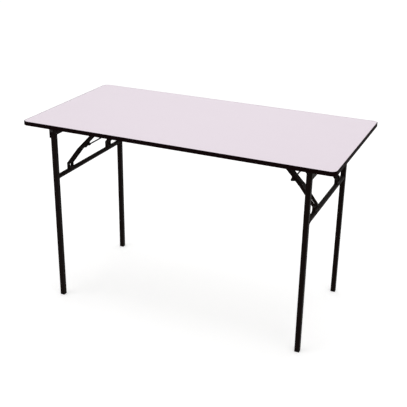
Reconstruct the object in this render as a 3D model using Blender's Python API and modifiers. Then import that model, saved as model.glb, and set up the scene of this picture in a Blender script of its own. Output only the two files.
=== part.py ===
"""Folding office table: a laminated board on two folding steel leg frames, each held by a
pair of knee braces that are joined by a release rod.

Metres, +Z up. The origin is on the floor under the middle of the board; X runs along the
board, Y across it, and the front edge is at -Y. The two leg frames are one design: it is
built at the +X end, and built again turned half way round the Z axis at the -X end. Both
sit a little off the middle of the board, so their legs lie side by side when folded.
"""

import math

import bmesh
import bpy
from mathutils import Matrix, Vector

# fit between pieces that touch, and play of a hole round its pin
GAP = 0.0003
BORE_PLAY = 0.0003

# board: laminate sheet, core and backing sheet, with an edging all round
TABLE_LENGTH = 1.226
TABLE_WIDTH = 0.616
TABLE_HEIGHT = 0.750
BOARD_THICKNESS = 0.016
CORNER_RADIUS = 0.022
SHEET_THICKNESS = 0.001
BAND_THICKNESS = 0.003
BAND_ROUNDING = 0.0018
TONGUE_DEPTH = 0.0085
TONGUE_HEIGHT = 0.002
UNDERSIDE = TABLE_HEIGHT - BOARD_THICKNESS

# leg frame: square tube legs, round crossbar, fold axis under the board
LEG_SIZE = 0.019
TUBE_WALL = 0.0012
LEG_CORNER_RADIUS = 0.002
LEG_END_INSET = 0.108
LEG_SIDE_INSET = 0.0625
LEG_X = TABLE_LENGTH / 2 - LEG_END_INSET
LEG_HALF_SPREAD = TABLE_WIDTH / 2 - LEG_SIDE_INSET
FRAME_SHIFT = 0.011
FOLD_AXIS_DROP = 0.017
FOLD_AXIS_Z = UNDERSIDE - FOLD_AXIS_DROP
CROSSBAR_DROP = 0.197
CROSSBAR_RADIUS = 0.0095
FOOT_CAP_HEIGHT = 0.003
FOOT_CAP_BEVEL = 0.001
FOOT_PLUG_HEIGHT = 0.020
PLUG_HALF = 0.0079
INSERT_DEPTH = 0.024

# hinge: steel rail across the board, a bracket and a pin at each leg
RAIL_STEEL = 0.0025
RAIL_DEPTH = 0.049
RAIL_FLANGE = 0.047
RAIL_BEND_RADIUS = 0.004
BRACKET_STEEL = 0.0025
BRACKET_BASE = 0.002
BRACKET_TOE = 0.026
CHEEK_REACH = 0.013
CHEEK_DROP = 0.010
CHEEK_ROUNDING = 0.006
HINGE_PIN_RADIUS = 0.004
HINGE_HEAD_RADIUS = 0.007
HINGE_HEAD_HEIGHT = 0.003
SCREW_HOLE_RADIUS = 0.00225
RAIL_SCREW_INSET = 0.060
RAIL_SCREW_SETBACK = 0.035

# braces: where the pivots are, seen from the side; the knee is inside the straight line
# between the other two, and inside the upper link's own centre line
BRACE_LEG_SPACING = 0.099
BRACE_HALF_SPREAD = LEG_HALF_SPREAD - BRACE_LEG_SPACING
BRACE_FOOT_DROP = 0.1675
BRACE_TOP_SETBACK = 0.1465
BRACE_TOP_X = LEG_X - BRACE_TOP_SETBACK
BRACE_TOP_Z = FOLD_AXIS_Z
KNEE_PAST_CENTRE = 0.0075
KNEE_DROP = 0.0117

# brace links: pressed channels that meet end to end, with lobes that reach in to the rod
LINK_STEEL = 0.0015
UPPER_REACH = 0.137
UPPER_HALF_WIDTH = 0.012
UPPER_HALF_DEPTH = 0.0063
UPPER_EAR_LENGTH = 0.014
UPPER_LOBE_RADIUS = 0.005
UPPER_LOBE_FLARE = 0.009
UPPER_NECK_DEPTH = 0.0068
LOWER_HALF_WIDTH = 0.015
LOWER_BACK = 0.006
LOWER_OPEN_EDGE = 0.0065
LOWER_EAR_LENGTH = 0.034
LOWER_LOBE_RADIUS = 0.0055
LOWER_SHOULDER = 0.002
LOWER_NECK_ALONG = 0.0095
LOWER_NECK_RISE = 0.0068
KNEE_ROD_RADIUS = 0.003
KNEE_ROD_STICKOUT = 0.009

# brace fittings: bracket under the board, lug on the crossbar, rivets
BRACE_PIN_RADIUS = 0.0025
BRACE_PIN_HEAD = 0.0009
BRACE_PIN_HEAD_RADIUS = 0.0044
TOP_EAR_HALF = 0.007
TOP_EAR_DROP = 0.0065
TOP_EAR_STEEL = 0.0017
TOP_BASE_HALF = 0.024
TOP_BASE_STEEL = 0.002
TOP_SCREW_OFFSET = 0.017
LUG_HALF = 0.007
LUG_STEEL = 0.002
LUG_FLOOR = 0.003
FOOT_RIVET_RADIUS = 0.0028
FOOT_RIVET_HEAD = 0.0017
FOOT_RIVET_HEAD_RADIUS = 0.005

# fineness of round shapes, and a length that cutters run past what they cut
ROUND_STEPS = 16
ARC_STEPS = 4
LOBE_STEPS = 6
OVERRUN = 0.004
FLAT_ANGLE = math.radians(0.1)
SMOOTH_ANGLE = math.radians(35)
LOBE_LEAN = math.radians(30)

HALF_TURN = math.pi
QUARTER_TURN = math.pi / 2


def clear_scene():
    """Remove what the scene holds before the model is built."""
    for item in list(bpy.data.objects):
        bpy.data.objects.remove(item, do_unlink=True)


def new_collection(name):
    """Return a collection of this name, linked to the scene."""
    collection = bpy.data.collections.new(name)
    bpy.context.scene.collection.children.link(collection)
    return collection


clear_scene()
PARTS = new_collection("folding_office_table")
CUTTERS = new_collection("cutters")


def paint(name, colour, roughness, metallic):
    """Return a plain Principled material."""
    material = bpy.data.materials.new(name)
    material.use_nodes = True
    shader = material.node_tree.nodes["Principled BSDF"]
    shader.inputs["Base Color"].default_value = (*colour, 1)
    shader.inputs["Roughness"].default_value = roughness
    shader.inputs["Metallic"].default_value = metallic
    return material


LAMINATE = paint("laminate_pale", (0.80, 0.73, 0.78), 0.35, 0)
CORE = paint("particle_board", (0.48, 0.34, 0.20), 0.85, 0)
BACKING = paint("backing_sheet", (0.62, 0.58, 0.56), 0.6, 0)
EDGING = paint("edging_black", (0.012, 0.011, 0.012), 0.45, 0)
POWDER_COAT = paint("steel_powder_coated", (0.014, 0.013, 0.014), 0.42, 0)
BLACK_ZINC = paint("steel_black_zinc", (0.030, 0.028, 0.030), 0.4, 1)
NYLON = paint("nylon_black", (0.016, 0.016, 0.017), 0.55, 0)


def arc(centre, radius, start, end, steps=ARC_STEPS):
    """Points of an arc in the plane; angles in radians, counterclockwise when end > start."""
    turn = (end - start) / steps
    angles = [start + turn * step for step in range(steps + 1)]
    return [(centre[0] + radius * math.cos(a), centre[1] + radius * math.sin(a)) for a in angles]


def rounded_rectangle(half_x, half_y, radius):
    """Counterclockwise outline of a rectangle about the origin with round corners."""
    x = half_x - radius
    y = half_y - radius
    corners = [(x, -y, -QUARTER_TURN), (x, y, 0), (-x, y, QUARTER_TURN), (-x, -y, HALF_TURN)]
    points = []
    for corner_x, corner_y, start in corners:
        points += arc((corner_x, corner_y), radius, start, start + QUARTER_TURN)
    return points


def add_object(name, mesh, material=None):
    """Put a mesh in the scene as a part, or as a hidden cutter when it has no material."""
    item = bpy.data.objects.new(name, mesh)
    if material:
        mesh.materials.append(material)
        PARTS.objects.link(item)
    else:
        CUTTERS.objects.link(item)
        item.display_type = "WIRE"
        item.hide_render = True
    return item


def flat_mesh(name, outlines, thickness):
    """Mesh of flat outlines in the XY plane, thick along Z about z = 0; an inner outline
    is a hole."""
    curve = bpy.data.curves.new(name, "CURVE")
    curve.dimensions = "2D"
    curve.fill_mode = "BOTH"
    curve.extrude = thickness / 2
    for outline in outlines:
        spline = curve.splines.new("POLY")
        spline.points.add(len(outline) - 1)
        for point, (x, y) in zip(spline.points, outline):
            point.co = (x, y, 0, 1)
        spline.use_cyclic_u = True
    holder = bpy.data.objects.new(name, curve)
    bpy.context.scene.collection.objects.link(holder)
    evaluated = holder.evaluated_get(bpy.context.evaluated_depsgraph_get())
    mesh = bpy.data.meshes.new_from_object(evaluated)
    bpy.data.objects.remove(holder, do_unlink=True)
    bpy.data.curves.remove(curve)
    weld = bmesh.new()
    weld.from_mesh(mesh)
    bmesh.ops.remove_doubles(weld, verts=weld.verts, dist=GAP / 10)
    bmesh.ops.dissolve_limit(weld, angle_limit=FLAT_ANGLE, verts=weld.verts, edges=weld.edges)
    bmesh.ops.recalc_face_normals(weld, faces=weld.faces)
    weld.to_mesh(mesh)
    weld.free()
    return mesh


def side_mesh(name, outlines, half_width):
    """Mesh of outlines drawn in the XZ plane, wide along Y about y = 0."""
    mesh = flat_mesh(name, outlines, 2 * half_width)
    mesh.transform(Matrix.Rotation(QUARTER_TURN, 4, "X"))
    return mesh


def box_mesh(name, low, high):
    """Mesh of a box between two opposite corners."""
    low = Vector(low)
    size = Vector(high) - low
    mesh = bpy.data.meshes.new(name)
    build = bmesh.new()
    bmesh.ops.create_cube(build, size=1)
    placing = Matrix.Translation(low + size / 2) @ Matrix.Diagonal((*size, 1))
    bmesh.ops.transform(build, matrix=placing, verts=build.verts)
    build.to_mesh(mesh)
    build.free()
    return mesh


def cylinder_mesh(name, radius, low_y, high_y, centre=(0, 0)):
    """Mesh of a cylinder along Y; centre is its (x, z)."""
    mesh = bpy.data.meshes.new(name)
    build = bmesh.new()
    bmesh.ops.create_cone(
        build, cap_ends=True, segments=ROUND_STEPS,
        radius1=radius, radius2=radius, depth=high_y - low_y)
    place = Matrix.Translation((centre[0], (low_y + high_y) / 2, centre[1]))
    bmesh.ops.transform(
        build, matrix=place @ Matrix.Rotation(QUARTER_TURN, 4, "X"), verts=build.verts)
    build.to_mesh(mesh)
    build.free()
    return mesh


def turned(name, profile, closed, material):
    """Part turned about the Y axis. The profile is (radius, y) pairs and runs down its
    outer side; a closed one makes a tube."""
    mesh = bpy.data.meshes.new(name)
    build = bmesh.new()
    verts = [build.verts.new((radius, 0, along)) for radius, along in profile]
    pairs = list(zip(verts, verts[1:]))
    if closed:
        pairs.append((verts[-1], verts[0]))
    for pair in pairs:
        build.edges.new(pair)
    build.to_mesh(mesh)
    build.free()
    item = add_object(name, mesh, material)
    screw = item.modifiers.new("turn", "SCREW")
    screw.axis = "Z"
    screw.steps = ROUND_STEPS
    screw.render_steps = ROUND_STEPS
    screw.use_merge_vertices = True
    screw.merge_threshold = GAP / 10
    item.rotation_euler = (-QUARTER_TURN, 0, 0)
    return item


def boolean(item, mesh, operation="DIFFERENCE"):
    """Cut or join a mesh, given in the part's own coordinates, and follow the part."""
    other = add_object(item.name + "_" + mesh.name, mesh)
    other.parent = item
    change = item.modifiers.new(mesh.name, "BOOLEAN")
    change.operation = operation
    change.solver = "EXACT"
    change.object = other
    return other


def bevel(item, width, segments):
    """Round the sharp edges of a part."""
    rounding = item.modifiers.new("edges", "BEVEL")
    rounding.width = width
    rounding.segments = segments
    rounding.limit_method = "ANGLE"


def smooth(item):
    """Shade the round faces smooth and keep the edges sharp."""
    item.data.shade_smooth()
    item.data.set_sharp_from_angle(angle=SMOOTH_ANGLE)


def ring(name, outline_out, outline_in, thickness):
    """Mesh of a flat ring between two outlines."""
    return flat_mesh(name, [outline_out, outline_in], thickness)


# tabletop: three layers, and an edging whose tongue sits in a groove round the core
def board_outline(inset):
    """Outline of the board, this far inside the outer face of its edging."""
    return rounded_rectangle(
        TABLE_LENGTH / 2 - inset, TABLE_WIDTH / 2 - inset, CORNER_RADIUS - inset)


def add_sheet(name, low, high, material):
    """One layer of the board, between two heights."""
    sheet = add_object(name, flat_mesh(name, [board_outline(BAND_THICKNESS)], high - low), material)
    sheet.location.z = (low + high) / 2
    return sheet


def add_tabletop():
    """The laminate, the core with its groove, the backing and the edging."""
    core_low = UNDERSIDE + SHEET_THICKNESS + GAP
    core_high = TABLE_HEIGHT - SHEET_THICKNESS - GAP
    add_sheet("tabletop_laminate", TABLE_HEIGHT - SHEET_THICKNESS, TABLE_HEIGHT, LAMINATE)
    add_sheet("tabletop_backing", UNDERSIDE, UNDERSIDE + SHEET_THICKNESS, BACKING)
    core = add_sheet("tabletop_core", core_low, core_high, CORE)
    groove_out = board_outline(BAND_THICKNESS - OVERRUN)
    groove_in = board_outline(BAND_THICKNESS + TONGUE_DEPTH + GAP)
    groove_height = TONGUE_HEIGHT + 2 * GAP
    boolean(core, ring("groove", groove_out, groove_in, groove_height))

    band = add_object("edge_banding", flat_mesh("band", [board_outline(0)], BOARD_THICKNESS), EDGING)
    band.location.z = UNDERSIDE + BOARD_THICKNESS / 2
    bevel(band, BAND_ROUNDING, 3)
    room = flat_mesh("room", [board_outline(BAND_THICKNESS - GAP)], BOARD_THICKNESS + OVERRUN)
    boolean(band, room)
    tongue_out = board_outline(BAND_THICKNESS / 2)
    tongue_in = board_outline(BAND_THICKNESS + TONGUE_DEPTH)
    boolean(band, ring("tongue", tongue_out, tongue_in, TONGUE_HEIGHT), "UNION")
    smooth(band)


# brace geometry seen from the side, as (x, z) with x measured outwards from the middle
BRACE_TOP = Vector((BRACE_TOP_X, BRACE_TOP_Z))
BRACE_FOOT = Vector((LEG_X, FOLD_AXIS_Z - BRACE_FOOT_DROP))
BRACE_FOOT_FOLDED = Vector((LEG_X - BRACE_FOOT_DROP, FOLD_AXIS_Z))


def pitch(start, end):
    """Rotation about Y that turns +X to the direction from start to end."""
    way = end - start
    return -math.atan2(way.y, way.x)


def turned_point(point, turn):
    """A side-view point after a rotation about Y through the origin."""
    return Matrix.Rotation(-turn, 2) @ point


def knee_along():
    """How far along the upper link its knee pivot is.

    Standing, the pivot is a little inside the straight line between the top and foot
    pivots. Folded flat, the upper link is level and the foot pivot comes back past the
    top one. Both give the lower link's length, and so one quadratic for this distance.
    """
    span = (BRACE_TOP - BRACE_FOOT).length
    overlap = BRACE_TOP.x - BRACE_FOOT_FOLDED.x
    middle = (span * span - overlap * overlap) / (2 * span)
    lean = overlap / span
    a = 1 - lean * lean
    b = middle * lean
    c = KNEE_DROP * KNEE_DROP - KNEE_PAST_CENTRE * KNEE_PAST_CENTRE - middle * middle
    return (-b + math.sqrt(b * b - a * c)) / a


def knee_place():
    """Place of the knee pivot when the leg stands, inside the line from top to foot."""
    direction = (BRACE_FOOT - BRACE_TOP).normalized()
    inward = Vector((direction.y, -direction.x))
    from_top = math.sqrt(UPPER_KNEE.length_squared - KNEE_PAST_CENTRE * KNEE_PAST_CENTRE)
    return BRACE_TOP + direction * from_top + inward * KNEE_PAST_CENTRE


# the knee, the end where the links meet and the foot, in the scene and in each link's own
# coordinates, and how far each link is turned when the leg stands
UPPER_KNEE = Vector((knee_along(), -KNEE_DROP))
KNEE = knee_place()
UPPER_TURN = pitch(BRACE_TOP, KNEE) - math.atan2(KNEE_DROP, UPPER_KNEE.x)
LINKS_MEET = BRACE_TOP + turned_point(Vector((UPPER_REACH, 0)), UPPER_TURN)
LOWER_TURN = pitch(LINKS_MEET, BRACE_FOOT)
LOWER_FOOT = turned_point(BRACE_FOOT - KNEE, -LOWER_TURN)
LOWER_START = turned_point(LINKS_MEET - KNEE, -LOWER_TURN).x


def axis_empty(name, turn, x, z):
    """Empty on a joint's axis; everything that turns with it is its child."""
    empty = bpy.data.objects.new(name, None)
    bpy.context.scene.collection.objects.link(empty)
    place = Matrix.Rotation(turn, 3, "Z") @ Vector((x, FRAME_SHIFT, z))
    empty.location = place
    empty.rotation_euler = (0, 0, turn)
    return empty


def put(item, parent, x=0, y=0, z=0, turn_y=0):
    """Place a part in its parent's coordinates."""
    item.parent = parent
    item.location = (x, y, z)
    if turn_y:
        item.rotation_euler = (0, turn_y, 0)
    return item


# leg frame: legs with a round top end, inserts, caps, crossbar and brace lugs
def add_leg(name, parent, y):
    """Square tube from the foot cap to a round end about the fold axis."""
    half = LEG_SIZE / 2
    foot = FOOT_CAP_HEIGHT + GAP - FOLD_AXIS_Z
    outer = rounded_rectangle(half, half, LEG_CORNER_RADIUS)
    inner = rounded_rectangle(half - TUBE_WALL, half - TUBE_WALL, LEG_CORNER_RADIUS - TUBE_WALL)
    mesh = flat_mesh("tube", [outer, inner], half - foot)
    mesh.transform(Matrix.Translation((0, 0, (half + foot) / 2)))
    leg = put(add_object(name, mesh, POWDER_COAT), parent, y=y)
    end = [(-half - OVERRUN, 0), (-half - OVERRUN, foot - OVERRUN), (half + OVERRUN, foot - OVERRUN)]
    end += [(half + OVERRUN, 0)] + arc((0, 0), half - GAP, 0, HALF_TURN, 2 * ARC_STEPS)
    boolean(leg, side_mesh("round_end", [end], half + OVERRUN), "INTERSECT")
    bore = HINGE_PIN_RADIUS + BORE_PLAY
    boolean(leg, cylinder_mesh("bore", bore, -half - OVERRUN, half + OVERRUN))
    return leg


def add_leg_insert(name, parent, y):
    """Nylon block that fills the tube's top end and carries the hinge pin."""
    radius = LEG_SIZE / 2 - GAP
    meet = math.acos(PLUG_HALF / radius)
    outline = [(-PLUG_HALF, -INSERT_DEPTH), (PLUG_HALF, -INSERT_DEPTH)]
    outline += arc((0, 0), radius, meet, HALF_TURN - meet)
    insert = put(add_object(name, side_mesh("block", [outline], PLUG_HALF), NYLON), parent, y=y)
    bore = HINGE_PIN_RADIUS + BORE_PLAY
    boolean(insert, cylinder_mesh("bore", bore, -LEG_SIZE, LEG_SIZE))
    return insert


def add_foot_cap(name, parent, y):
    """Cap as wide as the leg, with a plug inside the tube."""
    half = LEG_SIZE / 2
    outline = rounded_rectangle(half, half, LEG_CORNER_RADIUS)
    cap = add_object(name, flat_mesh("cap", [outline], FOOT_CAP_HEIGHT), NYLON)
    put(cap, parent, y=y, z=FOOT_CAP_HEIGHT / 2 - FOLD_AXIS_Z)
    low = (-PLUG_HALF, -PLUG_HALF, 0)
    high = (PLUG_HALF, PLUG_HALF, FOOT_PLUG_HEIGHT)
    boolean(cap, box_mesh("plug", low, high), "UNION")
    bevel(cap, FOOT_CAP_BEVEL, 1)
    return cap


def add_crossbar(name, parent):
    """Round tube between the inner faces of the legs."""
    reach = LEG_HALF_SPREAD - LEG_SIZE / 2 - GAP
    inner = CROSSBAR_RADIUS - TUBE_WALL
    profile = [(CROSSBAR_RADIUS, reach), (CROSSBAR_RADIUS, -reach), (inner, -reach), (inner, reach)]
    bar = turned(name, profile, True, POWDER_COAT)
    bar.parent = parent
    bar.location = (0, 0, -CROSSBAR_DROP)
    smooth(bar)
    return bar


def add_brace_lug(name, parent, y):
    """Upturned channel welded on the crossbar; the brace's ears straddle it."""
    half_width = LOWER_HALF_WIDTH - LINK_STEEL - GAP
    rise = CROSSBAR_DROP - BRACE_FOOT_DROP
    seat = CROSSBAR_RADIUS + GAP
    meet = math.acos(LUG_HALF / seat)
    outline = arc((0, -rise), seat, HALF_TURN - meet, meet)
    outline += arc((0, 0), LUG_HALF, 0, HALF_TURN, 2 * ARC_STEPS)
    mesh = side_mesh("lug", [outline], half_width)
    lug = put(add_object(name, mesh, POWDER_COAT), parent, y=y, z=-BRACE_FOOT_DROP)
    inside = half_width - LUG_STEEL
    floor = seat - rise + LUG_FLOOR
    low = (-LUG_HALF - OVERRUN, -inside, floor)
    high = (LUG_HALF + OVERRUN, inside, LUG_HALF + OVERRUN)
    boolean(lug, box_mesh("trough", low, high))
    bore = FOOT_RIVET_RADIUS + BORE_PLAY
    boolean(lug, cylinder_mesh("bore", bore, -half_width - OVERRUN, half_width + OVERRUN))
    return lug


# hinge: what carries the leg frame under the board
def add_hinge_rail(name, parent):
    """Steel angle across the board; its deep outer flange stops the standing legs."""
    inner = LEG_SIZE / 2 + GAP
    outer = inner + RAIL_STEEL
    top = FOLD_AXIS_DROP - GAP
    soffit = top - RAIL_STEEL
    bend_in = RAIL_BEND_RADIUS - RAIL_STEEL
    outline = [(inner, top - RAIL_DEPTH), (outer, top - RAIL_DEPTH)]
    outline += arc((outer - RAIL_BEND_RADIUS, top - RAIL_BEND_RADIUS), RAIL_BEND_RADIUS, 0, QUARTER_TURN)
    outline += [(outer - RAIL_FLANGE, top), (outer - RAIL_FLANGE, soffit)]
    outline += arc((inner - bend_in, soffit - bend_in), bend_in, QUARTER_TURN, 0)
    reach = LEG_HALF_SPREAD + LEG_SIZE / 2 + GAP + BRACKET_STEEL
    rail = put(add_object(name, side_mesh("angle", [outline], reach), POWDER_COAT), parent)
    hole_x = outer - RAIL_SCREW_SETBACK
    for count, y in enumerate((-reach + RAIL_SCREW_INSET, 0, reach - RAIL_SCREW_INSET)):
        boolean(rail, drill_mesh("screw_hole_%d" % count, hole_x, y, soffit, top))
    return rail


def drill_mesh(name, x, y, low, high):
    """Cutter for a screw hole along Z."""
    mesh = cylinder_mesh(name, SCREW_HOLE_RADIUS, low - OVERRUN, high + OVERRUN)
    mesh.transform(Matrix.Translation((x, y, 0)) @ Matrix.Rotation(QUARTER_TURN, 4, "X"))
    return mesh


def add_hinge_bracket(name, parent, y):
    """Pressed bracket under the rail, with a cheek on each side of the leg."""
    base_top = FOLD_AXIS_DROP - GAP - RAIL_STEEL - GAP
    base_low = base_top - BRACKET_BASE
    edge = LEG_SIZE / 2 - GAP
    inside = LEG_SIZE / 2 + GAP
    middle = (base_low + base_top) / 2
    corner_z = CHEEK_ROUNDING - CHEEK_DROP
    outline = [(-CHEEK_REACH, middle)]
    outline += arc((CHEEK_ROUNDING - CHEEK_REACH, corner_z), CHEEK_ROUNDING, HALF_TURN, 3 * QUARTER_TURN)
    outline += arc((edge - CHEEK_ROUNDING, corner_z), CHEEK_ROUNDING, -QUARTER_TURN, 0)
    outline += [(edge, middle)]
    wide = inside + BRACKET_STEEL
    bracket = put(add_object(name, side_mesh("cheeks", [outline], wide), POWDER_COAT), parent, y=y)
    bend = RAIL_BEND_RADIUS - RAIL_STEEL
    low = (-BRACKET_TOE, -wide - GAP, base_low)
    base = box_mesh("base", low, (edge - bend, wide + GAP, base_top))
    boolean(bracket, base, "UNION")
    low = (-BRACKET_TOE - OVERRUN, -inside, -CHEEK_DROP - OVERRUN)
    high = (edge + OVERRUN, inside, base_low - GAP)
    boolean(bracket, box_mesh("leg_room", low, high))
    bore = HINGE_PIN_RADIUS + BORE_PLAY
    boolean(bracket, cylinder_mesh("bore", bore, -LEG_SIZE, LEG_SIZE))
    return bracket


def headed_pin(name, radius, head_radius, head_height, grip):
    """Pin with a low domed head at both ends; grip is half the length between the heads."""
    crown = head_radius / 2
    shoulder = grip + head_height / 2
    tip = grip + head_height
    profile = [(0, tip), (crown, tip), (head_radius, shoulder), (head_radius, grip), (radius, grip)]
    profile += [(r, -along) for r, along in reversed(profile)]
    pin = turned(name, profile, False, BLACK_ZINC)
    smooth(pin)
    return pin


def add_hinge_pin(name, parent, y):
    """Pin through both cheeks and the leg."""
    grip = LEG_SIZE / 2 + GAP + BRACKET_STEEL + GAP
    pin = headed_pin(name, HINGE_PIN_RADIUS, HINGE_HEAD_RADIUS, HINGE_HEAD_HEIGHT, grip)
    pin.parent = parent
    pin.location = (0, y, 0)
    return pin


# braces: two knee braces a frame, joined by the rod through their knees
def add_brace_bracket(name, parent, y):
    """Bracket screwed under the board, with two ears inside the upper link."""
    base_top = UNDERSIDE - GAP - BRACE_TOP_Z
    base_low = base_top - TOP_BASE_STEEL
    half_width = UPPER_HALF_WIDTH - LINK_STEEL - GAP
    middle = (base_low + base_top) / 2
    outline = [(-TOP_EAR_HALF, middle)]
    outline += arc((0, TOP_EAR_HALF - TOP_EAR_DROP), TOP_EAR_HALF, HALF_TURN, 2 * HALF_TURN, 2 * ARC_STEPS)
    outline += [(TOP_EAR_HALF, middle)]
    bracket = put(add_object(name, side_mesh("ears", [outline], half_width), POWDER_COAT), parent, y=y)
    low = (-TOP_BASE_HALF, -half_width - GAP, base_low)
    high = (TOP_BASE_HALF, half_width + GAP, base_top)
    boolean(bracket, box_mesh("base", low, high), "UNION")
    inside = half_width - TOP_EAR_STEEL
    low = (-TOP_EAR_HALF - OVERRUN, -inside, -TOP_EAR_DROP - OVERRUN)
    high = (TOP_EAR_HALF + OVERRUN, inside, base_low - GAP)
    boolean(bracket, box_mesh("space", low, high))
    bore = BRACE_PIN_RADIUS + BORE_PLAY
    boolean(bracket, cylinder_mesh("bore", bore, -half_width - OVERRUN, half_width + OVERRUN))
    for count, x in enumerate((-TOP_SCREW_OFFSET, TOP_SCREW_OFFSET)):
        boolean(bracket, drill_mesh("screw_hole_%d" % count, x, 0, base_low, base_top))
    return bracket


def add_brace_pin(name, parent, y):
    """Rivet through the bracket's ears and the upper link."""
    grip = UPPER_HALF_WIDTH + GAP
    pin = headed_pin(name, BRACE_PIN_RADIUS, BRACE_PIN_HEAD_RADIUS, BRACE_PIN_HEAD, grip)
    pin.parent = parent
    pin.location = (0, y, 0)
    return pin


def add_upper_link(name, parent, y):
    """Narrow channel from the top pivot to its meeting with the lower link, along the
    part's own +X. Its back is on the +Z side and is cut short at the top pivot; a lobe on
    each flange carries the rod."""
    half = UPPER_HALF_DEPTH
    knee_x, knee_z = UPPER_KNEE
    outline = arc((0, 0), half, QUARTER_TURN, 3 * QUARTER_TURN)
    outline += [(knee_x - UPPER_LOBE_FLARE, -UPPER_NECK_DEPTH)]
    outline += arc(UPPER_KNEE, UPPER_LOBE_RADIUS, HALF_TURN + LOBE_LEAN, 2 * HALF_TURN - LOBE_LEAN)
    outline += [(knee_x + UPPER_LOBE_FLARE, -UPPER_NECK_DEPTH)]
    outline += [(UPPER_REACH, -half), (UPPER_REACH, half)]
    mesh = side_mesh("channel", [outline], UPPER_HALF_WIDTH)
    link = put(add_object(name, mesh, POWDER_COAT), parent, y=y, turn_y=UPPER_TURN)
    inside = UPPER_HALF_WIDTH - LINK_STEEL
    far = UPPER_REACH + OVERRUN
    deep = knee_z - UPPER_LOBE_RADIUS - OVERRUN
    back = half - LINK_STEEL
    high = half + OVERRUN
    hollow = [(-far, deep), (far, deep), (far, back), (UPPER_EAR_LENGTH, back)]
    hollow += [(UPPER_EAR_LENGTH, high), (-far, high)]
    boolean(link, side_mesh("hollow", [hollow], inside))
    wide = UPPER_HALF_WIDTH + OVERRUN
    boolean(link, cylinder_mesh("top_bore", BRACE_PIN_RADIUS + BORE_PLAY, -wide, wide))
    rod_bore = KNEE_ROD_RADIUS + BORE_PLAY
    boolean(link, cylinder_mesh("knee_bore", rod_bore, -wide, wide, UPPER_KNEE))
    return link


def touch_angle(point, radius, side):
    """Angle at which a line from a point touches a circle about the origin; side is +1 or
    -1 for the one or the other of its two touching points."""
    x, z = point
    return math.atan2(z, x) + side * math.acos(radius / math.hypot(x, z))


def add_lower_link(name, parent, y):
    """Wide channel from its meeting with the upper link to the lug, along the part's own
    +X. Its back starts where the upper link ends, which stops the knee there. The flanges
    run on, narrowing to a lobe round the rod, and two ears reach the lug."""
    foot_x, foot_z = LOWER_FOOT
    top = foot_z + LOWER_BACK
    edge = foot_z - LOWER_OPEN_EDGE
    end_radius = (top - edge) / 2
    shoulder = (LOWER_START - LOWER_SHOULDER, top)
    neck = (LOWER_NECK_ALONG, LOWER_NECK_RISE)
    lobe_start = touch_angle(shoulder, LOWER_LOBE_RADIUS, 1)
    lobe_end = touch_angle(neck, LOWER_LOBE_RADIUS, -1) + 2 * HALF_TURN
    outline = arc((foot_x, top - end_radius), end_radius, -QUARTER_TURN, QUARTER_TURN, 2 * ARC_STEPS)
    outline += [shoulder]
    outline += arc((0, 0), LOWER_LOBE_RADIUS, lobe_start, lobe_end, LOBE_STEPS)
    outline += [neck, (LOWER_START + LOWER_SHOULDER, edge)]
    mesh = side_mesh("channel", [outline], LOWER_HALF_WIDTH)
    link = put(add_object(name, mesh, POWDER_COAT), parent, y=y, turn_y=LOWER_TURN)
    inside = LOWER_HALF_WIDTH - LINK_STEEL
    far = foot_x + end_radius + OVERRUN
    deep = -LOWER_LOBE_RADIUS - OVERRUN
    back = top - LINK_STEEL
    high = top + OVERRUN
    fork = foot_x - LOWER_EAR_LENGTH
    hollow = [(-far, deep), (far, deep), (far, high), (fork, high), (fork, back)]
    hollow += [(LOWER_START, back), (LOWER_START, high), (-far, high)]
    boolean(link, side_mesh("hollow", [hollow], inside))
    wide = LOWER_HALF_WIDTH + OVERRUN
    boolean(link, cylinder_mesh("knee_bore", KNEE_ROD_RADIUS + BORE_PLAY, -wide, wide))
    rivet_bore = FOOT_RIVET_RADIUS + BORE_PLAY
    boolean(link, cylinder_mesh("foot_bore", rivet_bore, -wide, wide, LOWER_FOOT))
    return link


def add_foot_rivet(name, parent, y, outward):
    """Rivet in one ear of the lower link. Its shank ends at the ear's inner face, because
    the brace is open here in the joint tree and leaves the lug in mid-travel."""
    inner = LOWER_HALF_WIDTH - LINK_STEEL
    grip = LOWER_HALF_WIDTH + GAP
    shoulder = grip + FOOT_RIVET_HEAD / 2
    tip = grip + FOOT_RIVET_HEAD
    crown = FOOT_RIVET_HEAD_RADIUS / 2
    profile = [(0, tip), (crown, tip), (FOOT_RIVET_HEAD_RADIUS, shoulder)]
    profile += [(FOOT_RIVET_HEAD_RADIUS, grip), (FOOT_RIVET_RADIUS, grip)]
    profile += [(FOOT_RIVET_RADIUS, inner), (0, inner)]
    rivet = turned(name, profile, False, BLACK_ZINC)
    rivet.parent = parent
    place = BRACE_FOOT - KNEE
    rivet.location = (place.x, y, place.y)
    rivet.rotation_euler = (-outward * QUARTER_TURN, 0, 0)
    smooth(rivet)
    return rivet


def add_knee_rod(name, parent):
    """Release rod through the knees of both braces of a frame."""
    reach = BRACE_HALF_SPREAD + LOWER_HALF_WIDTH + KNEE_ROD_STICKOUT
    crown = KNEE_ROD_RADIUS / 2
    shoulder = reach - crown
    profile = [(0, reach), (crown, reach), (KNEE_ROD_RADIUS, shoulder)]
    profile += [(r, -along) for r, along in reversed(profile)]
    rod = turned(name, profile, False, BLACK_ZINC)
    rod.parent = parent
    smooth(rod)
    return rod


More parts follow.
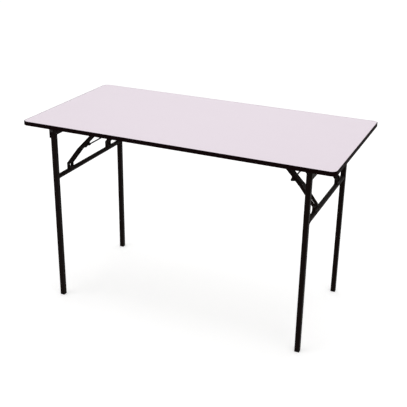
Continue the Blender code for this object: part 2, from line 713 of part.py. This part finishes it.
def add_side(side, turn):
    """Everything that belongs to one leg frame; turn is its rotation about Z."""
    fold = axis_empty("fold_axis_" + side, turn, LEG_X, FOLD_AXIS_Z)
    hinge = axis_empty("hinge_place_" + side, turn, LEG_X, FOLD_AXIS_Z)
    brace_top = axis_empty("brace_top_axis_" + side, turn, BRACE_TOP.x, BRACE_TOP.y)
    knee = axis_empty("knee_axis_" + side, turn, KNEE.x, KNEE.y)

    add_hinge_rail("hinge_rail_" + side, hinge)
    add_crossbar("crossbar_" + side, fold)
    add_knee_rod("knee_rod_" + side, knee)
    for sign in (-1, 1):
        toward_front = sign * math.cos(turn) < 0
        end = side + ("_front" if toward_front else "_back")
        leg_y = sign * LEG_HALF_SPREAD
        brace_y = sign * BRACE_HALF_SPREAD
        add_hinge_bracket("hinge_bracket_" + end, hinge, leg_y)
        add_hinge_pin("hinge_pin_" + end, hinge, leg_y)
        add_leg("leg_" + end, fold, leg_y)
        add_leg_insert("leg_top_insert_" + end, fold, leg_y)
        add_foot_cap("foot_cap_" + end, fold, leg_y)
        add_brace_lug("brace_lug_" + end, fold, brace_y)
        add_brace_bracket("brace_bracket_" + end, brace_top, brace_y)
        add_brace_pin("brace_pin_" + end, brace_top, brace_y)
        add_upper_link("brace_upper_link_" + end, brace_top, brace_y)
        add_lower_link("brace_lower_link_" + end, knee, brace_y)
        add_foot_rivet("foot_rivet_outer_" + end, knee, brace_y, sign)
        add_foot_rivet("foot_rivet_inner_" + end, knee, brace_y, -sign)


add_tabletop()
add_side("right", 0)
add_side("left", HALF_TURN)
bpy.context.view_layer.update()
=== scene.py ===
import math

import bmesh
import bpy
import numpy as np
from mathutils import Matrix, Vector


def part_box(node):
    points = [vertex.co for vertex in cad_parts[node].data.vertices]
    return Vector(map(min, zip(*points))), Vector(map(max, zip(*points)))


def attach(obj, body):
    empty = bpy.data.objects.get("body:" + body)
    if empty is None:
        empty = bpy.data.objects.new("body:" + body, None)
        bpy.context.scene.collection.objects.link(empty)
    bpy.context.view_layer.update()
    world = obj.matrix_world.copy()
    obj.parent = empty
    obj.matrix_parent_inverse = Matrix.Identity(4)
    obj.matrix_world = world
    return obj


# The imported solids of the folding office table: metres, +Z up, front edge at -Y. Every
# finish and piece below is fitted to them, and none of them is moved or changed.
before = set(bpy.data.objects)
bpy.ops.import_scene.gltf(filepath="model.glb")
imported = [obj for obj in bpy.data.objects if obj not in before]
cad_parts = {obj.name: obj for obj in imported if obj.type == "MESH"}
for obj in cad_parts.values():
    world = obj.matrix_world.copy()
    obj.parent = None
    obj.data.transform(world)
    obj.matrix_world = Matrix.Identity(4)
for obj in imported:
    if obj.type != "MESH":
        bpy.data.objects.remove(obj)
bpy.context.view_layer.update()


# Board core: pressed particle board, shut in by the two sheets and the edging.
# Pale and dark chips of wood in resin, never painted.
CHIPS_PER_METRE, CHIP_RELIEF = 420.0, 0.0004
DARK_CHIP, PALE_CHIP = (0.30, 0.19, 0.10), (0.62, 0.46, 0.28)
CHIP_ROUGHNESS = (0.75, 0.95)


def node(tree, kind, values=None, **settings):
    """Adds a shader node. Values fill its sockets by name or number, with a plain value or
    with another node's output, and settings are the node's own."""
    made = tree.nodes.new("ShaderNode" + kind)
    for key, value in settings.items():
        setattr(made, key, value)
    for key, value in (values or {}).items():
        if isinstance(value, bpy.types.NodeSocket):
            tree.links.new(value, made.inputs[key])
        else:
            made.inputs[key].default_value = value
    return made


def new_finish(name, metallic=0.0, gloss=0.5):
    """A material with its Principled shader, and the place on the piece in metres. Gloss is
    how much the surface mirrors, where half is plain plastic."""
    finish = bpy.data.materials.new(name)
    finish.use_nodes = True
    tree = finish.node_tree
    shader = tree.nodes["Principled BSDF"]
    shader.inputs["Metallic"].default_value = metallic
    shader.inputs["Specular IOR Level"].default_value = gloss
    return finish, tree, shader, node(tree, "TexCoord").outputs["Object"]


def plug(tree, shader, **sockets):
    """Joins outputs to the shader's sockets, whose spaces are written as underscores."""
    for name, output in sockets.items():
        tree.links.new(output, shader.inputs[name.replace("_", " ")])


def between(tree, share, low, high):
    """A colour that runs from low to high as the share runs from 0 to 1. High is a plain
    colour, and low is one too or another node's output."""
    if isinstance(low, tuple):
        low = (*low, 1)
    mix = node(tree, "Mix", {0: share, 6: low, 7: (*high, 1)}, data_type="RGBA")
    return mix.outputs[2]


def span(tree, value, low, high, start=0.0, end=1.0):
    """Runs from low to high as the value runs from start to end, and stays inside them."""
    values = {0: value, 1: start, 2: end, 3: low, 4: high}
    return node(tree, "MapRange", values).outputs[0]


def relief(tree, height, depth, under=None):
    """A bump this deep in metres, laid over the one under it."""
    values = {"Height": height, "Distance": depth}
    if under:
        values["Normal"] = under
    return node(tree, "Bump", values).outputs[0]


def give(finish, slot, *names):
    """Puts the finish on these solids. The slot is not used."""
    for name in names:
        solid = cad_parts[name]
        solid.data.materials.clear()
        solid.data.materials.append(finish)


particle_board, tree, shader, place = new_finish("particle_board")
chips = node(tree, "TexVoronoi", {"Vector": place, "Scale": CHIPS_PER_METRE})
shade = node(tree, "SeparateColor", {0: chips.outputs["Color"]}).outputs[0]
plug(tree, shader,
     Base_Color=between(tree, shade, DARK_CHIP, PALE_CHIP),
     Roughness=span(tree, shade, *CHIP_ROUGHNESS),
     Normal=relief(tree, chips.outputs["Distance"], CHIP_RELIEF))
give(particle_board, "core", "tabletop_core")


# Backing: the balancing sheet glued to the underside, resin paper with a fine fibre.
# Off-white, dull, with faint cloudy patches from the press.
FIBRES_PER_METRE, FIBRE_STRETCH, FIBRE_RELIEF = 900.0, (0.2, 1, 1), 0.00006
DARK_FIBRE, PALE_FIBRE = (0.50, 0.47, 0.44), (0.66, 0.63, 0.60)
PATCHES_PER_METRE, PATCH_STRENGTH, PATCH_COLOUR = 9.0, 0.35, (0.46, 0.44, 0.42)
PAPER_ROUGHNESS = (0.5, 0.68)


def grain(tree, place, scale, detail=3.0, roughness=0.5):
    """Cloudy noise, with this many clouds to the metre."""
    values = {"Vector": place, "Scale": scale, "Detail": detail, "Roughness": roughness}
    return node(tree, "TexNoise", values).outputs[0]


def stretched(tree, place, factors):
    """The place times these factors along X, Y and Z. A small one makes grain long."""
    return node(tree, "Mapping", {"Vector": place, "Scale": factors}).outputs[0]


backing_paper, tree, shader, place = new_finish("backing_paper")
fibres = grain(tree, stretched(tree, place, FIBRE_STRETCH), FIBRES_PER_METRE, detail=4.0)
patches = grain(tree, place, PATCHES_PER_METRE)
paper = between(tree, fibres, DARK_FIBRE, PALE_FIBRE)
plug(tree, shader,
     Base_Color=between(tree, span(tree, patches, 0, PATCH_STRENGTH), paper, PATCH_COLOUR),
     Roughness=span(tree, patches, *PAPER_ROUGHNESS),
     Normal=relief(tree, fibres, FIBRE_RELIEF))
give(backing_paper, "backing", "tabletop_backing")


# Tabletop: the laminate sheet, an even pale lavender white with a fine matt pearl grain
# pressed into it, and hands' faint smears that only the gloss shows.
PEARLS_PER_METRE, PEARL_CONTRAST, PEARL_RELIEF = 2400.0, (0.2, 0.8), 0.00004
DARK_PEARL, PALE_PEARL = (0.775, 0.690, 0.760), (0.825, 0.740, 0.805)
CLOUDS_PER_METRE, CLOUD_STRENGTH, CLOUD_COLOUR = 5.0, 0.5, (0.805, 0.715, 0.785)
SMEARS_PER_METRE, SMEAR_STRETCH = 7.0, (0.5, 1.6, 1)
LAMINATE_GLOSS, LAMINATE_ROUGHNESS = 0.3, (0.36, 0.5)

laminate_lavender, tree, shader, place = new_finish("laminate_lavender", gloss=LAMINATE_GLOSS)
pearl = grain(tree, place, PEARLS_PER_METRE, detail=2.0)
clouds = grain(tree, place, CLOUDS_PER_METRE)
smears = grain(tree, stretched(tree, place, SMEAR_STRETCH), SMEARS_PER_METRE,
               detail=4.0, roughness=0.6)
pearly = between(tree, span(tree, pearl, *PEARL_CONTRAST), DARK_PEARL, PALE_PEARL)
plug(tree, shader,
     Base_Color=between(tree, span(tree, clouds, 0, CLOUD_STRENGTH), pearly, CLOUD_COLOUR),
     Roughness=span(tree, smears, *LAMINATE_ROUGHNESS),
     Normal=relief(tree, pearl, PEARL_RELIEF))
give(laminate_lavender, "laminate", "tabletop_laminate")


# Edging: one length of black extruded strip, tapped into the board's groove all round.
# Its die leaves fine lines along it, and its two ends meet in a butt joint at the back.
JOINT_WIDTH, JOINT_COLOUR = 0.0005, (0.002, 0.002, 0.002)
DIE_LINES_PER_METRE, DIE_LINE_RELIEF = 900.0, 0.00008
MATT_PER_METRE, MATT_RELIEF = 1800.0, 0.00003
SCUFFS_PER_METRE, SCUFF_CONTRAST = 60.0, (-1.6, 1.0)
CLEAN_BLACK, SCUFFED_BLACK = (0.0046, 0.0014, 0.0016), (0.027, 0.021, 0.022)
EDGING_GLOSS, EDGING_ROUGHNESS = 0.015, (0.52, 0.7)


def reckon(tree, operation, *values):
    """The result of one step of arithmetic, such as MULTIPLY, on values or outputs."""
    return node(tree, "Math", dict(enumerate(values)), operation=operation).outputs[0]


edging_strip, tree, shader, place = new_finish("edging_strip", gloss=EDGING_GLOSS)
x, y, z = node(tree, "SeparateXYZ", {0: place}).outputs
height_alone = node(tree, "CombineXYZ", {2: z}).outputs[0]
lines = grain(tree, height_alone, DIE_LINES_PER_METRE, detail=2.0)
matt = grain(tree, place, MATT_PER_METRE, detail=2.0)
scuffs = grain(tree, place, SCUFFS_PER_METRE, detail=5.0, roughness=0.65)
off_middle = reckon(tree, "ABSOLUTE", x)
at_middle = reckon(tree, "LESS_THAN", off_middle, JOINT_WIDTH / 2)
at_back = reckon(tree, "GREATER_THAN", y, 0.0)
black = between(tree, span(tree, scuffs, *SCUFF_CONTRAST), CLEAN_BLACK, SCUFFED_BLACK)
plug(tree, shader,
     Base_Color=between(tree, reckon(tree, "MULTIPLY", at_middle, at_back), black,
                        JOINT_COLOUR),
     Roughness=span(tree, matt, *EDGING_ROUGHNESS),
     Normal=relief(tree, lines, DIE_LINE_RELIEF, under=relief(tree, matt, MATT_RELIEF)))
give(edging_strip, "edging", "edge_banding")


# Steelwork: rails, brackets, legs, crossbars, lugs and links, pressed and welded from
# mild steel, then coated in black powder. The coat has an orange-peel skin, thins on
# edges, and holds a little dust where it faces up. The peel's bumps are also painted
# paler in the colour, a painted highlight for the glints the skin catches.
WEAR_SAMPLES, WEAR_PATCH_RANGE = 6, (0.42, 0.62)
FLAT_COSINE, WORN_COSINE = 0.995, 0.80
LEVEL_FROM, SPECKS_PER_METRE, SPECK_CONTRAST = 0.55, 220.0, (0.2, 1.0)
STEEL_WEAR_REACH, STEEL_PATCHES_PER_METRE, STEEL_DUST = 0.0009, 150.0, 0.014
PEEL_PER_METRE, PEEL_HIGHLIGHT_CONTRAST, PEEL_RELIEF = 520.0, (-0.5, 0.9), 0.00012
SHADES_PER_METRE, SHADE_CONTRAST = 45.0, (-0.6, 1.6)
DEEP_COAT, PALE_COAT = (0.0024, 0.0007, 0.0005), (0.0050, 0.0022, 0.0017)
# The first colour here is a painted highlight on the peel's bumps; the second is worn edges.
PEEL_HIGHLIGHT_COLOUR, WORN_COLOUR = (0.013, 0.0085, 0.0072), (0.060, 0.052, 0.047)
DUST_COLOUR = (0.30, 0.28, 0.26)
COAT_GLOSS, COAT_ROUGHNESS = 0.03, (0.44, 0.58)
SIDES = {"right": 1, "left": -1}
SIDE_ENDS = [side + end for side in SIDES for end in ("_front", "_back")]


def effect(name, **sockets):
    """A shader node group with these inputs, each a Vector or a Float, that puts out a mask.
    The group is empty inside."""
    group = bpy.data.node_groups.new(name, "ShaderNodeTree")
    for socket, kind in sockets.items():
        group.interface.new_socket(socket, in_out="INPUT", socket_type="NodeSocket" + kind)
    group.interface.new_socket("Mask", in_out="OUTPUT", socket_type="NodeSocketFloat")
    given = group.nodes.new("NodeGroupInput").outputs
    return group, given, group.nodes.new("NodeGroupOutput").inputs["Mask"]


def at_ends(*kinds):
    """The names of these kinds of solid at the four legs."""
    return [kind + end for end in SIDE_ENDS for kind in kinds]


edge_wear, given, mask = effect("edge_wear", Place="Vector", Reach="Float", Patches="Float")
rounded = node(edge_wear, "Bevel", {"Radius": given["Reach"]}, samples=WEAR_SAMPLES).outputs[0]
flat = node(edge_wear, "NewGeometry").outputs["Normal"]
same = node(edge_wear, "VectorMath", {0: rounded, 1: flat}, operation="DOT_PRODUCT")
bend = span(edge_wear, same.outputs["Value"], 0, 1, FLAT_COSINE, WORN_COSINE)
patches = grain(edge_wear, given["Place"], given["Patches"], detail=4.0, roughness=0.6)
kept = span(edge_wear, patches, 0, 1, *WEAR_PATCH_RANGE)
edge_wear.links.new(reckon(edge_wear, "MULTIPLY", bend, kept), mask)

dust, given, mask = effect("dust", Place="Vector", Amount="Float")
facing = node(dust, "SeparateXYZ", {0: node(dust, "NewGeometry").outputs["Normal"]}).outputs[2]
upward = span(dust, facing, 0, 1, LEVEL_FROM, 1.0)
specks = grain(dust, given["Place"], SPECKS_PER_METRE, detail=5.0, roughness=0.7)
lying = reckon(dust, "MULTIPLY", upward, span(dust, specks, *SPECK_CONTRAST))
dust.links.new(reckon(dust, "MULTIPLY", lying, given["Amount"]), mask)

powder_coat, tree, shader, place = new_finish("powder_coat", gloss=COAT_GLOSS)
worn = node(tree, "Group", {"Place": place, "Reach": STEEL_WEAR_REACH,
                            "Patches": STEEL_PATCHES_PER_METRE}, node_tree=edge_wear).outputs[0]
dusty = node(tree, "Group", {"Place": place, "Amount": STEEL_DUST}, node_tree=dust).outputs[0]
peel = grain(tree, place, PEEL_PER_METRE, detail=2.0)
shades = grain(tree, place, SHADES_PER_METRE, detail=4.0)
coat = between(tree, span(tree, shades, *SHADE_CONTRAST), DEEP_COAT, PALE_COAT)
# Painted highlight: the peel's bumps are mixed towards a paler colour, standing in for the
# glints they catch.
coat = between(tree, span(tree, peel, *PEEL_HIGHLIGHT_CONTRAST), coat, PEEL_HIGHLIGHT_COLOUR)
coat = between(tree, worn, coat, WORN_COLOUR)
plug(tree, shader,
     Base_Color=between(tree, dusty, coat, DUST_COLOUR),
     Roughness=reckon(tree, "ADD", span(tree, peel, *COAT_ROUGHNESS), dusty),
     Normal=relief(tree, peel, PEEL_RELIEF))
give(powder_coat, "steel", *["hinge_rail_" + side for side in SIDES],
     *["crossbar_" + side for side in SIDES],
     *at_ends("hinge_bracket_", "brace_bracket_", "leg_", "brace_lug_",
              "brace_upper_link_", "brace_lower_link_"))


# Pins, rivets and release rods: turned and cold-headed steel, zinc plated and blackened.
# The black is thin, so it lets a little of the metal's shine through in patches.
BLOOMS_PER_METRE, BLOOM_ROUGHNESS = 260.0, (0.34, 0.54)
DEEP_PLATE, PALE_PLATE = (0.006, 0.005, 0.005), (0.022, 0.019, 0.018)
SCRATCHES_PER_METRE, SCRATCH_STRETCH, SCRATCH_RELIEF = 2600.0, (1, 0.04, 1), 0.00004
PLATE_METAL, PLATE_GLOSS = 0.7, 0.2

black_plate, tree, shader, place = new_finish("black_plate", PLATE_METAL, PLATE_GLOSS)
bloom = grain(tree, place, BLOOMS_PER_METRE, detail=4.0, roughness=0.6)
scratches = grain(tree, stretched(tree, place, SCRATCH_STRETCH), SCRATCHES_PER_METRE,
                  detail=2.0)
plug(tree, shader,
     Base_Color=between(tree, bloom, DEEP_PLATE, PALE_PLATE),
     Roughness=span(tree, bloom, *BLOOM_ROUGHNESS),
     Normal=relief(tree, scratches, SCRATCH_RELIEF))
give(black_plate, "zinc", *["knee_rod_" + side for side in SIDES],
     *at_ends("hinge_pin_", "brace_pin_", "foot_rivet_outer_", "foot_rivet_inner_"))


# Foot caps and the blocks inside the legs' top ends: moulded black nylon with a fine
# spark-eroded grain, rubbed grey under the feet where they slide on the floor.
NYLON_WEAR_REACH, NYLON_PATCHES_PER_METRE, RUBBED_COLOUR = 0.0012, 240.0, (0.075, 0.072, 0.070)
SPARKS_PER_METRE, SPARK_RELIEF = 1500.0, 0.00006
DARK_NYLON, PALE_NYLON = (0.0050, 0.0042, 0.0042), (0.0100, 0.0090, 0.0088)
NYLON_GLOSS, NYLON_ROUGHNESS = 0.06, (0.5, 0.66)

moulded_nylon, tree, shader, place = new_finish("moulded_nylon", gloss=NYLON_GLOSS)
rubbed = node(tree, "Group", {"Place": place, "Reach": NYLON_WEAR_REACH,
                              "Patches": NYLON_PATCHES_PER_METRE}, node_tree=edge_wear)
sparks = grain(tree, place, SPARKS_PER_METRE)
nylon = between(tree, sparks, DARK_NYLON, PALE_NYLON)
plug(tree, shader,
     Base_Color=between(tree, rubbed.outputs[0], nylon, RUBBED_COLOUR),
     Roughness=span(tree, sparks, *NYLON_ROUGHNESS),
     Normal=relief(tree, sparks, SPARK_RELIEF))
give(moulded_nylon, "nylon", *at_ends("leg_top_insert_", "foot_cap_"))


# Screws: black plated pan heads with a cross recess, driven up into the board through the
# three holes of each rail and the two of each brace bracket.
SCREW_HEAD_RADIUS, SCREW_HEAD_HEIGHT = 0.0041, 0.0022
CROWN_FALL, CROWN_POWER = 0.92, 3
SHANK_RADIUS, SHANK_LENGTH = 0.0018, 0.0105
CROSS_REACH, CROSS_WIDTH, CROSS_DEPTH = 0.0024, 0.0007, 0.0013
SCREW_STEPS, CROWN_RINGS = 64, 22
RAIL_STEEL, RAIL_SCREW_SETBACK, RAIL_SCREW_INSET = 0.0025, 0.035, 0.060
BRACKET_STEEL, BRACKET_SCREW_OFFSET = 0.002, 0.017
SKIN_GAP, MERGE_DISTANCE = 0.0002, 1e-6


def skin(name, points, finish, body, sharp=35):
    """A mesh over a grid of points, whose last column meets its first. Each cell of the
    grid becomes a face, points that coincide are merged, so poles and seams close, and all
    faces are turned outwards. Edges that bend more than sharp, in degrees, stay sharp."""
    rows, columns = points.shape[:2]
    index = np.arange(rows * columns).reshape(rows, columns)
    index = np.concatenate([index, index[:, :1]], axis=1)
    corners = (index[:-1, :-1], index[:-1, 1:], index[1:, 1:], index[1:, :-1])
    faces = np.stack(corners, axis=-1).reshape(-1, 4)
    mesh = bpy.data.meshes.new(name)
    mesh.from_pydata(points.reshape(-1, 3), [], faces)
    shell = bmesh.new()
    shell.from_mesh(mesh)
    bmesh.ops.remove_doubles(shell, verts=shell.verts, dist=MERGE_DISTANCE)
    bmesh.ops.recalc_face_normals(shell, faces=shell.faces)
    shell.to_mesh(mesh)
    shell.free()
    mesh.shade_smooth()
    mesh.set_sharp_from_angle(angle=math.radians(sharp))
    mesh.materials.append(finish)
    piece = bpy.data.objects.new(name, mesh)
    bpy.context.scene.collection.objects.link(piece)
    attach(piece, body)


def round_turn(steps):
    """Cosines and sines of this many equal steps round a circle."""
    turn = np.linspace(0, 2 * math.pi, steps, endpoint=False)
    return np.cos(turn), np.sin(turn)


def screw_points():
    """Radius r and height z of rings from the head's crown round to the shank's tip. The
    crown is the square root of one less a power of the radius, lowered inside a plus sign
    by the recess, which has sloping walls; angle runs round the axis. Height 0 is under the
    head, and -z is out."""
    cosine, sine = round_turn(SCREW_STEPS)
    share = np.linspace(0, 1, CROWN_RINGS)
    radius = SCREW_HEAD_RADIUS * share
    drop = np.clip(1 - CROWN_FALL * share ** CROWN_POWER, 0, 1)
    crown = -SCREW_HEAD_HEIGHT * np.sqrt(drop)
    x = radius[:, None] * cosine
    y = radius[:, None] * sine
    arms = np.minimum(np.maximum(np.abs(x) - CROSS_REACH, np.abs(y) - CROSS_WIDTH / 2),
                      np.maximum(np.abs(y) - CROSS_REACH, np.abs(x) - CROSS_WIDTH / 2))
    sunk = CROSS_DEPTH * np.sqrt(np.clip(-arms / (CROSS_WIDTH / 2), 0, 1))
    head = np.stack([x, y, crown[:, None] + sunk], axis=-1)
    rings = np.array([(SCREW_HEAD_RADIUS, 0), (SHANK_RADIUS, 0),
                      (SHANK_RADIUS, SHANK_LENGTH), (0, SHANK_LENGTH + SHANK_RADIUS)])
    round_x = rings[:, :1] * cosine
    round_y = rings[:, :1] * sine
    shank = np.stack([round_x, round_y, np.broadcast_to(rings[:, 1:], round_x.shape)], axis=-1)
    return np.concatenate([head, shank])


def middle(name):
    """The middle of a solid's box and half the box's size, as two arrays."""
    low, high = (np.array(corner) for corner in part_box(name))
    return (low + high) / 2, (high - low) / 2


screw = screw_points()
for side, out in SIDES.items():
    centre, half = middle("hinge_rail_" + side)
    along_x = out * (half[0] - RAIL_SCREW_SETBACK)
    under = half[2] - RAIL_STEEL - SKIN_GAP
    for count in (-1, 0, 1):
        seat = centre + (along_x, count * (half[1] - RAIL_SCREW_INSET), under)
        skin(f"rail_screw_{side}_{count + 1}", screw + seat, black_plate, "tabletop")
for end in SIDE_ENDS:
    centre, half = middle("brace_bracket_" + end)
    under = half[2] - BRACKET_STEEL - SKIN_GAP
    for count in (-1, 1):
        seat = centre + (count * BRACKET_SCREW_OFFSET, 0, under)
        skin(f"brace_screw_{end}_{(count + 1) // 2}", screw + seat, black_plate,
             "tabletop")


# Weld beads: rippled fillets laid round each end of the crossbar where it meets the legs,
# and along both sides of each lug's foot, all under the powder coat.
BEAD_RADIUS, BEAD_PITCH, BEAD_STEPS = 0.0017, 0.0021, 10
RIPPLE_SHARE, RIPPLE_POWER, TAPER_POWER = 0.14, 0.7, 8
BEAD_SHARP = 60
CROSSBAR_WELD_STEPS, CROSSBAR_WELD_GAP = 72, 0.0003
LUG_WELD_STEPS, LUG_WELD_STANDOFF = 40, 0.4


def bead(path, across, over, closed):
    """A bead of round section along a path. At each place its radius swells once every
    pitch, as the pool froze, and the section is a circle set in the plane of the two unit
    vectors across and over. An open bead's radius falls to nothing at both ends."""
    step = np.linalg.norm(np.roll(path, -1, axis=0) - path, axis=1)
    run = np.concatenate([[0], np.cumsum(step)[:-1]])
    ripple = np.abs(np.sin(math.pi * run / BEAD_PITCH)) ** RIPPLE_POWER
    radius = BEAD_RADIUS * (1 - RIPPLE_SHARE + RIPPLE_SHARE * ripple)
    if not closed:
        share = np.linspace(-1, 1, len(path))
        radius = radius * np.sqrt(np.clip(1 - share ** TAPER_POWER, 0, 1))
    cosine, sine = (part[None, :, None] for part in round_turn(BEAD_STEPS))
    ring = cosine * across[:, None] + sine * over[:, None]
    return path[:, None] + radius[:, None, None] * ring


cosine, sine = round_turn(CROSSBAR_WELD_STEPS)
outward = np.stack([cosine, np.zeros_like(cosine), sine], axis=-1)
for side in SIDES:
    centre, half = middle("crossbar_" + side)
    for sign in (-1, 1):
        path = centre + (0, sign * (half[1] + CROSSBAR_WELD_GAP), 0) + outward * half[2]
        loop = bead(path, outward, np.broadcast_to([0, 1.0, 0], path.shape), True)
        skin(f"crossbar_weld_{side}_{(sign + 1) // 2}", np.concatenate([loop, loop[:1]]),
             powder_coat, "leg_frame_" + side, BEAD_SHARP)
for end in SIDE_ENDS:
    side = end.split("_")[0]
    bar_centre, bar_half = middle("crossbar_" + side)
    lug_centre, lug_half = middle("brace_lug_" + end)
    lean = math.acos((lug_half[0] + BEAD_RADIUS * LUG_WELD_STANDOFF) / bar_half[2])
    y = np.linspace(-lug_half[1], lug_half[1], LUG_WELD_STEPS) + lug_centre[1]
    z = np.full_like(y, bar_centre[2] + bar_half[2] * math.sin(lean))
    for edge in (-1, 1):
        x = np.full_like(y, bar_centre[0] + edge * bar_half[2] * math.cos(lean))
        path = np.stack([x, y, z], axis=-1)
        across = np.broadcast_to([1.0, 0, 0], path.shape)
        over = np.broadcast_to([0, 0, 1.0], path.shape)
        skin(f"lug_weld_{end}_{(edge + 1) // 2}", bead(path, across, over, False),
             powder_coat, "leg_frame_" + side, BEAD_SHARP)


# Rod caps: sprung steel push-on washers that keep the release rod in the knees, one
# outside each brace. Domed, with a rolled rim.
ROD_RADIUS = middle("knee_rod_right")[1][2]
CAP_RADIUS, CAP_HEIGHT, CAP_RIM = 0.0054, 0.0022, 0.0007
CAP_STEPS, DOME_STEPS, RIM_STEPS = 48, 10, 7


def washer_points():
    """Radius r and height y of a ring's section: out along the foot, round the rim, up the
    dome as a quarter wave to the collar round the rod, and down inside it."""
    share = np.linspace(0, 1, DOME_STEPS)
    dome_r = CAP_RADIUS - CAP_RIM + (ROD_RADIUS + CAP_RIM - CAP_RADIUS) * share
    dome_y = CAP_RIM + (CAP_HEIGHT - CAP_RIM) * np.sin(share * math.pi / 2)
    rim = np.linspace(-math.pi / 2, math.pi / 2, RIM_STEPS)
    rim_r = CAP_RADIUS - CAP_RIM / 2 + CAP_RIM / 2 * np.cos(rim)
    rim_y = CAP_RIM / 2 + CAP_RIM / 2 * np.sin(rim)
    inner = ROD_RADIUS + SKIN_GAP / 2
    radius = np.concatenate([[inner], rim_r, dome_r, [inner, inner]])
    height = np.concatenate([[0], rim_y, dome_y, [CAP_HEIGHT, 0]])
    cosine, sine = round_turn(CAP_STEPS)
    x = radius[:, None] * cosine
    z = radius[:, None] * sine
    return np.stack([x, np.broadcast_to(height[:, None], x.shape), z], axis=-1)


washer = washer_points()
for end in SIDE_ENDS:
    side = end.split("_")[0]
    rod, _ = middle("knee_rod_" + side)
    link, half = middle("brace_lower_link_" + end)
    sign = 1 if link[1] > rod[1] else -1
    seat = (rod[0], link[1] + sign * (half[1] + SKIN_GAP), rod[2])
    skin(f"rod_cap_{end}", washer * (1, sign, 1) + seat, black_plate,
         "brace_lower_" + side)


# Studio: a pale seamless floor, a white surround, and three broad soft lamps at a plain
# level. The floor shows white to the camera and keeps the shadow, and it is clear from
# beneath, so the underside can be looked at.
FLOOR_HALF, FLOOR_COLOUR = 9.0, (0.86, 0.86, 0.86, 1)
FLOOR_ROUGHNESS, FLOOR_GLOSS = 0.9, 0.1
NEAR_GLOW, FAR_GLOW, NEAR, FAR = 0.44, 0.53, 0.6, 3.0
SURROUND_LIGHT, SURROUND_SEEN = 0.55, 1.0
WHITE = (1, 1, 1, 1)


def looked_at(tree):
    """1 for rays from the camera, and for those that a mirror or glass sends on; 0 for rays
    that carry light."""
    rays = node(tree, "LightPath").outputs
    seen = reckon(tree, "MAXIMUM", rays["Is Camera Ray"], rays["Is Glossy Ray"])
    return reckon(tree, "MAXIMUM", seen, rays["Is Transmission Ray"])


floor_paint, tree, shader, place = new_finish("floor_paint", gloss=FLOOR_GLOSS)
shader.inputs["Base Color"].default_value = FLOOR_COLOUR
shader.inputs["Roughness"].default_value = FLOOR_ROUGHNESS
shader.inputs["Emission Color"].default_value = WHITE
reach = node(tree, "VectorMath", {0: place}, operation="LENGTH").outputs["Value"]
glow = span(tree, reach, NEAR_GLOW, FAR_GLOW, NEAR, FAR)
plug(tree, shader, Emission_Strength=reckon(tree, "MULTIPLY", looked_at(tree), glow))
clear = node(tree, "BsdfTransparent").outputs[0]
beneath = node(tree, "NewGeometry").outputs["Backfacing"]
either = node(tree, "MixShader", {0: beneath, 1: shader.outputs[0], 2: clear}).outputs[0]
tree.links.new(either, tree.nodes["Material Output"].inputs["Surface"])

floor_mesh = bpy.data.meshes.new("studio_floor")
corners = [(-FLOOR_HALF, -FLOOR_HALF, 0), (FLOOR_HALF, -FLOOR_HALF, 0),
           (FLOOR_HALF, FLOOR_HALF, 0), (-FLOOR_HALF, FLOOR_HALF, 0)]
floor_mesh.from_pydata(corners, [], [(0, 1, 2, 3)])
floor_mesh.materials.append(floor_paint)
floor = bpy.data.objects.new("studio_floor", floor_mesh)
bpy.context.scene.collection.objects.link(floor)

world = bpy.data.worlds.new("studio_surround")
world.use_nodes = True
bpy.context.scene.world = world
tree = world.node_tree
backdrop = tree.nodes["Background"]
backdrop.inputs["Color"].default_value = WHITE
plug(tree, backdrop, Strength=span(tree, looked_at(tree), SURROUND_LIGHT, SURROUND_SEEN))


def soft_lamp(name, place, aim, size, power):
    """A square lamp of this size in metres that faces the aim, with its power in watts."""
    light = bpy.data.lights.new(name, "AREA")
    light.size = size
    light.energy = power
    lamp = bpy.data.objects.new(name, light)
    lamp.location = place
    way = np.array(place) - np.array(aim)
    flat_way = math.hypot(way[0], way[1])
    lamp.rotation_euler = (math.atan2(flat_way, way[2]), 0, math.atan2(way[0], -way[1]))
    bpy.context.scene.collection.objects.link(lamp)


TABLE_MIDDLE = (0, 0, 0.5)
soft_lamp("overhead_lamp", (0, 0.4, 3.2), TABLE_MIDDLE, size=2.6, power=28)
soft_lamp("key_lamp", (-2.4, -2.6, 2.6), TABLE_MIDDLE, size=3.0, power=24)
soft_lamp("fill_lamp", (2.8, -1.6, 1.8), TABLE_MIDDLE, size=2.6, power=15)


# Camera: stands in front, a little to the right and above, as the photograph's did. Its
# place, turn and lens were fitted to the edges of the board, legs, crossbars and braces.
# The lens's axis meets the picture a little left of its middle and above it.
CAMERA_PLACE = (1.15966, -2.58643, 1.63984)
AZIMUTH, ELEVATION, ROLL = 0.42279, 0.387452, 0.013844
FRAME_PIXELS, FOCAL_PIXELS, SENSOR_WIDTH = 407, 771.56, 36.0
AXIS_LEFT, AXIS_ABOVE = 3.5, 18.0

back = np.array([math.sin(AZIMUTH) * math.cos(ELEVATION),
                 -math.cos(AZIMUTH) * math.cos(ELEVATION), math.sin(ELEVATION)])
right = np.cross((0, 0, 1), back)
right = right / np.linalg.norm(right)
up = np.cross(back, right)
rolled_right = math.cos(ROLL) * right + math.sin(ROLL) * up
rolled_up = math.cos(ROLL) * up - math.sin(ROLL) * right
matrix = np.identity(4)
matrix[:3, :3] = np.stack([rolled_right, rolled_up, back], axis=1)
matrix[:3, 3] = CAMERA_PLACE
camera_data = bpy.data.cameras.new("photo_camera")
camera_data.sensor_width = SENSOR_WIDTH
camera_data.lens = FOCAL_PIXELS * SENSOR_WIDTH / FRAME_PIXELS
camera_data.shift_x = AXIS_LEFT / FRAME_PIXELS
camera_data.shift_y = -AXIS_ABOVE / FRAME_PIXELS
camera = bpy.data.objects.new("photo_camera", camera_data)
camera.matrix_world = Matrix(matrix.tolist())
bpy.context.scene.collection.objects.link(camera)
bpy.context.scene.camera = camera
bpy.context.scene.view_settings.view_transform = "Standard"
